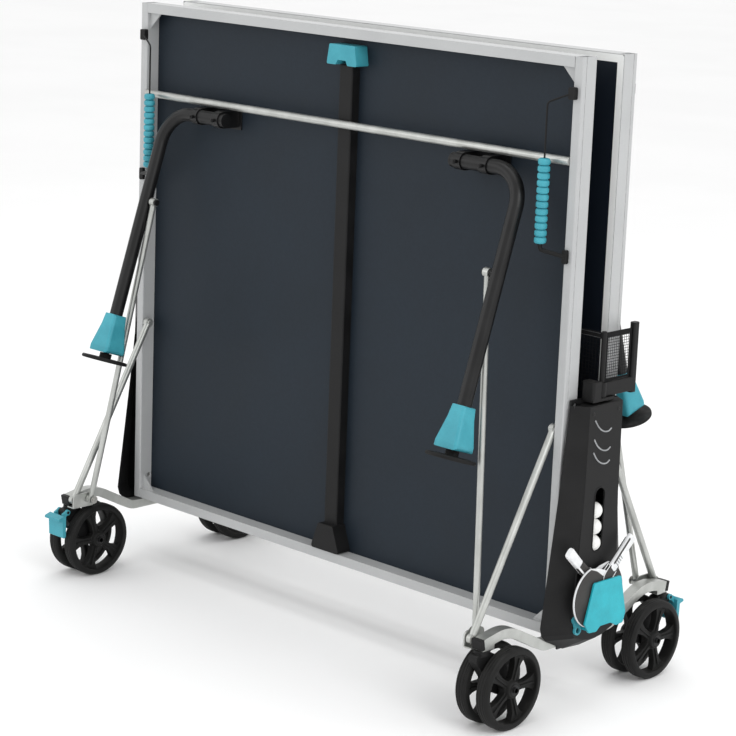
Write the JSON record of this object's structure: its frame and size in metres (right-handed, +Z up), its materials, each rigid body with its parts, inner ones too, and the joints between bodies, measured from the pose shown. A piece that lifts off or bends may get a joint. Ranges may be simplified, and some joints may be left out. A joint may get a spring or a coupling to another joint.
{
  "type": "ping pong table",
  "caption": "Folding roll-away table tennis table in storage position: two hinged halves on a wheeled base, with net, legs, bat holder and score counters.",
  "frame": {"origin": "on the floor, at the middle of the table", "axes": "+Z up, +X across the playing width, +Y along the playing length"},
  "size_m": [1.696, 0.794, 1.5525],
  "materials": {
    "playing_sheet": "satin laminate, dark blue both faces with white lines on the playing face",
    "frame_paint": "light grey powder coat",
    "galvanised_steel": "pale zinc-coated steel",
    "zinc_steel": "zinc-plated",
    "black_steel": "black satin powder coat",
    "black_plastic": "moulded, fine texture",
    "cyan_plastic": "moulded, satin",
    "black_rubber": "matt",
    "wheel_black": "moulded, matt tread",
    "ball_white": "matt",
    "bat_rubber": "matt rubber face with a white rim",
    "net_fabric": "knotted black mesh with a top tape"
  },
  "bodies": {
    "base": {"base_bars": "galvanised_steel", "rod_brackets": "galvanised_steel", "base_frame": "black_steel", "side_cover_right": "black_plastic", "side_cover_left": "black_plastic", "bat_holders": "cyan_plastic", "net_brackets": "black_plastic", "net": "net_fabric"},
    "front_carriage": {"front_guide_pins": "zinc_steel"},
    "front_half": {"front_top_panel": "playing_sheet", "front_side_rails": "frame_paint", "front_end_rails": "frame_paint", "front_centre_beam": "black_plastic", "front_crossbar": "galvanised_steel", "front_leg_brackets": "black_steel", "front_counter_frames": "black_plastic"},
    "front_legs": {"front_legs": "black_steel", "front_leg_boots": "cyan_plastic"},
    "front_release_handle": {"front_release_handle": "cyan_plastic"},
    "front_outer_rods": {"front_outer_rods": "galvanised_steel"},
    "front_inner_rods": {"front_inner_rods": "galvanised_steel"},
    "front_foot_pad_right": {"front_foot_pad_right": "black_rubber"},
    "front_foot_pad_left": {"front_foot_pad_left": "black_rubber"},
    "front_counter_beads_right": {"front_counter_beads_right": "cyan_plastic"},
    "front_counter_beads_left": {"front_counter_beads_left": "cyan_plastic"},
    "rear_carriage": {"rear_guide_pins": "zinc_steel"},
    "rear_half": {"rear_top_panel": "playing_sheet", "rear_side_rails": "frame_paint", "rear_end_rails": "frame_paint", "rear_centre_beam": "black_plastic", "rear_crossbar": "galvanised_steel", "rear_leg_brackets": "black_steel", "rear_counter_frames": "black_plastic"},
    "rear_legs": {"rear_legs": "black_steel", "rear_leg_boots": "cyan_plastic"},
    "rear_release_handle": {"rear_release_handle": "cyan_plastic"},
    "rear_outer_rods": {"rear_outer_rods": "galvanised_steel"},
    "rear_inner_rods": {"rear_inner_rods": "galvanised_steel"},
    "rear_foot_pad_right": {"rear_foot_pad_right": "black_rubber"},
    "rear_foot_pad_left": {"rear_foot_pad_left": "black_rubber"},
    "rear_counter_beads_right": {"rear_counter_beads_right": "cyan_plastic"},
    "rear_counter_beads_left": {"rear_counter_beads_left": "cyan_plastic"},
    "caster_front_right": {"caster_fork_front_right": "black_plastic"},
    "wheels_front_right": {"wheels_front_right": "wheel_black"},
    "caster_front_left": {"caster_fork_front_left": "black_plastic"},
    "wheels_front_left": {"wheels_front_left": "wheel_black"},
    "caster_rear_right": {"caster_fork_rear_right": "black_plastic"},
    "wheels_rear_right": {"wheels_rear_right": "wheel_black"},
    "caster_rear_left": {"caster_fork_rear_left": "black_plastic"},
    "wheels_rear_left": {"wheels_rear_left": "wheel_black"},
    "brake_pedal_front_left": {"brake_pedal_front_left": "cyan_plastic"},
    "brake_pedal_rear_right": {"brake_pedal_rear_right": "cyan_plastic"},
    "net_arm_right": {"net_arm_right": "black_plastic", "net_end_right": "net_fabric"},
    "net_arm_left": {"net_arm_left": "black_plastic", "net_end_left": "net_fabric"},
    "bat_inner": {"bat_inner": "bat_rubber"},
    "bat_outer": {"bat_outer": "bat_rubber"},
    "balls": {"balls": "ball_white"},
    "lock_hook": {"lock_hook": "cyan_plastic"}
  },
  "joints": [
    {"name": "front_lift", "type": "slide", "parent": "base", "child": "front_carriage", "axis": [0, 0, 1], "range_m": [0, 0.5005]},
    {"name": "front_fold", "type": "hinge", "parent": "front_carriage", "child": "front_half", "pos_m": [0, -0.066, 0.2435], "axis": [1, 0, 0], "range_deg": [0, 90]},
    {"name": "front_legs_swing", "type": "hinge", "parent": "front_half", "child": "front_legs", "pos_m": [0, -0.116, 1.2775], "axis": [1, 0, 0], "range_deg": [-72, 0]},
    {"name": "front_outer_rods_swing", "type": "hinge", "parent": "front_half", "child": "front_outer_rods", "pos_m": [0, -0.087, 0.6825], "axis": [1, 0, 0], "range_deg": [-43.02, 0]},
    {"name": "front_inner_rods_swing", "type": "hinge", "parent": "front_legs", "child": "front_inner_rods", "pos_m": [0, -0.19171, 1.04449], "axis": [1, 0, 0], "range_deg": [0, 63.76]},
    {"name": "front_foot_screw_right", "type": "slide", "parent": "front_legs", "child": "front_foot_pad_right", "axis": [0, -0.309, -0.9511], "range_m": [0, 0.02]},
    {"name": "front_beads_right_slide", "type": "slide", "parent": "front_half", "child": "front_counter_beads_right", "axis": [0, 0, 1], "range_m": [0, 0.105]},
    {"name": "front_foot_screw_left", "type": "slide", "parent": "front_legs", "child": "front_foot_pad_left", "axis": [0, -0.309, -0.9511], "range_m": [0, 0.02]},
    {"name": "front_beads_left_slide", "type": "slide", "parent": "front_half", "child": "front_counter_beads_left", "axis": [0, 0, 1], "range_m": [0, 0.105]},
    {"name": "front_release_pull", "type": "slide", "parent": "front_half", "child": "front_release_handle", "axis": [0, 0, 1], "range_m": [0, 0.014], "stiffness_N_per_m": 900, "springref_m": -0.012},
    {"name": "rear_lift", "type": "slide", "parent": "base", "child": "rear_carriage", "axis": [0, 0, 1], "range_m": [0, 0.5005]},
    {"name": "rear_fold", "type": "hinge", "parent": "rear_carriage", "child": "rear_half", "pos_m": [0, 0.066, 0.2435], "axis": [-1, 0, 0], "range_deg": [0, 90]},
    {"name": "rear_legs_swing", "type": "hinge", "parent": "rear_half", "child": "rear_legs", "pos_m": [0, 0.116, 1.2775], "axis": [-1, 0, 0], "range_deg": [-72, 0]},
    {"name": "rear_outer_rods_swing", "type": "hinge", "parent": "rear_half", "child": "rear_outer_rods", "pos_m": [0, 0.087, 0.6825], "axis": [-1, 0, 0], "range_deg": [-43.02, 0]},
    {"name": "rear_inner_rods_swing", "type": "hinge", "parent": "rear_legs", "child": "rear_inner_rods", "pos_m": [0, 0.19171, 1.04449], "axis": [-1, 0, 0], "range_deg": [0, 63.76]},
    {"name": "rear_foot_screw_right", "type": "slide", "parent": "rear_legs", "child": "rear_foot_pad_right", "axis": [0, 0.309, -0.9511], "range_m": [0, 0.02]},
    {"name": "rear_beads_right_slide", "type": "slide", "parent": "rear_half", "child": "rear_counter_beads_right", "axis": [0, 0, 1], "range_m": [0, 0.105]},
    {"name": "rear_foot_screw_left", "type": "slide", "parent": "rear_legs", "child": "rear_foot_pad_left", "axis": [0, 0.309, -0.9511], "range_m": [0, 0.02]},
    {"name": "rear_beads_left_slide", "type": "slide", "parent": "rear_half", "child": "rear_counter_beads_left", "axis": [0, 0, 1], "range_m": [0, 0.105]},
    {"name": "rear_release_pull", "type": "slide", "parent": "rear_half", "child": "rear_release_handle", "axis": [0, 0, 1], "range_m": [0, 0.014], "stiffness_N_per_m": 900, "springref_m": -0.012},
    {"name": "caster_front_right_swivel", "type": "hinge", "parent": "base", "child": "caster_front_right", "pos_m": [0.7525, -0.334, 0.2], "axis": [0, 0, 1], "continuous": true},
    {"name": "wheels_front_right_spin", "type": "hinge", "parent": "caster_front_right", "child": "wheels_front_right", "pos_m": [0.7525, -0.268, 0.1], "axis": [1, 0, 0], "continuous": true},
    {"name": "caster_front_left_swivel", "type": "hinge", "parent": "base", "child": "caster_front_left", "pos_m": [-0.7525, -0.334, 0.2], "axis": [0, 0, 1], "continuous": true},
    {"name": "wheels_front_left_spin", "type": "hinge", "parent": "caster_front_left", "child": "wheels_front_left", "pos_m": [-0.7525, -0.268, 0.1], "axis": [1, 0, 0], "continuous": true},
    {"name": "caster_rear_right_swivel", "type": "hinge", "parent": "base", "child": "caster_rear_right", "pos_m": [0.7525, 0.334, 0.2], "axis": [0, 0, 1], "continuous": true},
    {"name": "wheels_rear_right_spin", "type": "hinge", "parent": "caster_rear_right", "child": "wheels_rear_right", "pos_m": [0.7525, 0.268, 0.1], "axis": [1, 0, 0], "continuous": true},
    {"name": "caster_rear_left_swivel", "type": "hinge", "parent": "base", "child": "caster_rear_left", "pos_m": [-0.7525, 0.334, 0.2], "axis": [0, 0, 1], "continuous": true},
    {"name": "wheels_rear_left_spin", "type": "hinge", "parent": "caster_rear_left", "child": "wheels_rear_left", "pos_m": [-0.7525, 0.268, 0.1], "axis": [1, 0, 0], "continuous": true},
    {"name": "brake_front_left_press", "type": "hinge", "parent": "caster_front_left", "child": "brake_pedal_front_left", "pos_m": [-0.7525, -0.356, 0.186], "axis": [1, 0, 0], "range_deg": [0, 4]},
    {"name": "brake_rear_right_press", "type": "hinge", "parent": "caster_rear_right", "child": "brake_pedal_rear_right", "pos_m": [0.7525, 0.356, 0.186], "axis": [-1, 0, 0], "range_deg": [0, 4]},
    {"name": "net_arm_right_swing", "type": "hinge", "parent": "base", "child": "net_arm_right", "pos_m": [0.792, 0, 0.76], "axis": [0, 0, -1], "range_deg": [0, 90]},
    {"name": "net_arm_left_swing", "type": "hinge", "parent": "base", "child": "net_arm_left", "pos_m": [-0.792, 0, 0.76], "axis": [0, 0, 1], "range_deg": [0, 90]},
    {"name": "bat_inner_lift_out", "type": "slide", "parent": "base", "child": "bat_inner", "axis": [0, 0, 1], "range_m": [0, 0.16]},
    {"name": "bat_outer_lift_out", "type": "slide", "parent": "base", "child": "bat_outer", "axis": [0, 0, 1], "range_m": [0, 0.16]},
    {"name": "balls_push_up", "type": "slide", "parent": "base", "child": "balls", "axis": [0, 0, 1], "range_m": [0, 0.035]},
    {"name": "lock_hook_turn", "type": "hinge", "parent": "base", "child": "lock_hook", "pos_m": [0.8156, -0.078, 0.232], "axis": [1, 0, 0], "range_deg": [-25, 0], "stiffness_Nm_per_rad": 0.02, "springref_deg": 5}
  ],
  "couplings": [
    {"joint": "front_lift", "follows": "front_fold", "m_per_rad": 0.31863},
    {"joint": "front_legs_swing", "follows": "front_fold", "ratio": -0.8},
    {"joint": "front_outer_rods_swing", "follows": "front_fold", "ratio": -0.47786},
    {"joint": "front_inner_rods_swing", "follows": "front_fold", "ratio": 0.70833},
    {"joint": "rear_lift", "follows": "rear_fold", "m_per_rad": 0.31863},
    {"joint": "rear_legs_swing", "follows": "rear_fold", "ratio": -0.8},
    {"joint": "rear_outer_rods_swing", "follows": "rear_fold", "ratio": -0.47786},
    {"joint": "rear_inner_rods_swing", "follows": "rear_fold", "ratio": 0.70833}
  ]
}
